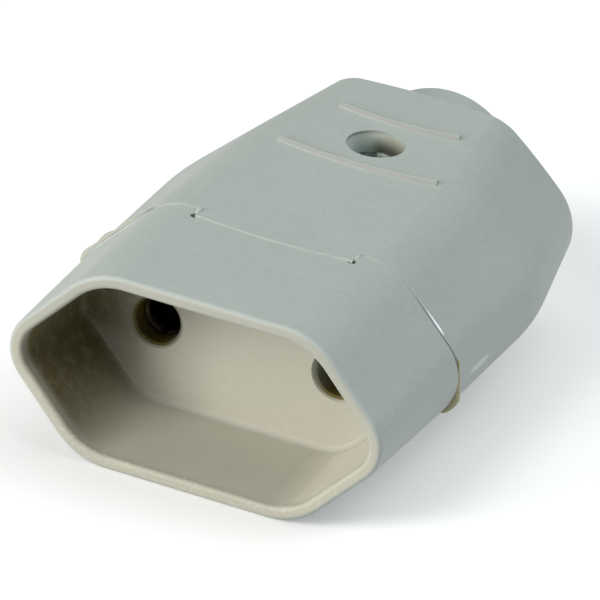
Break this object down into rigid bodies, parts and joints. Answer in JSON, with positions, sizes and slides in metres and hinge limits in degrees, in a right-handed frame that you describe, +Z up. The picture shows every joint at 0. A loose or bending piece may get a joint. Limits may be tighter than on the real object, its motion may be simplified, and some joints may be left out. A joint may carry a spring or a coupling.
{
  "type": "inline socket connector",
  "caption": "Inline socket connector for a flat pin plug: six-sided hooded recess in front, split housing closed by a screw, tapered rear with a round cord inlet.",
  "frame": {"origin": "middle of the recess floor, where the plug's face rests", "axes": "-Y out of the recess towards the mating plug, +Y along the body to the cord inlet, +Z up through the housing screw's head"},
  "size_m": [0.0398, 0.0588, 0.0207],
  "materials": {
    "grey_moulding": "satin light grey moulding",
    "zinc_steel": "zinc plated",
    "contact_brass": "plain turned brass"
  },
  "bodies": {
    "root": {"front_socket": "grey_moulding", "upper_shell": "grey_moulding", "lower_shell": "grey_moulding", "housing_screw": "zinc_steel", "housing_nut": "zinc_steel", "left_contact": "contact_brass", "right_contact": "contact_brass", "left_terminal_screw": "zinc_steel", "right_terminal_screw": "zinc_steel", "cord_clamp": "grey_moulding", "left_clamp_screw": "zinc_steel", "right_clamp_screw": "zinc_steel"}
  },
  "joints": []
}
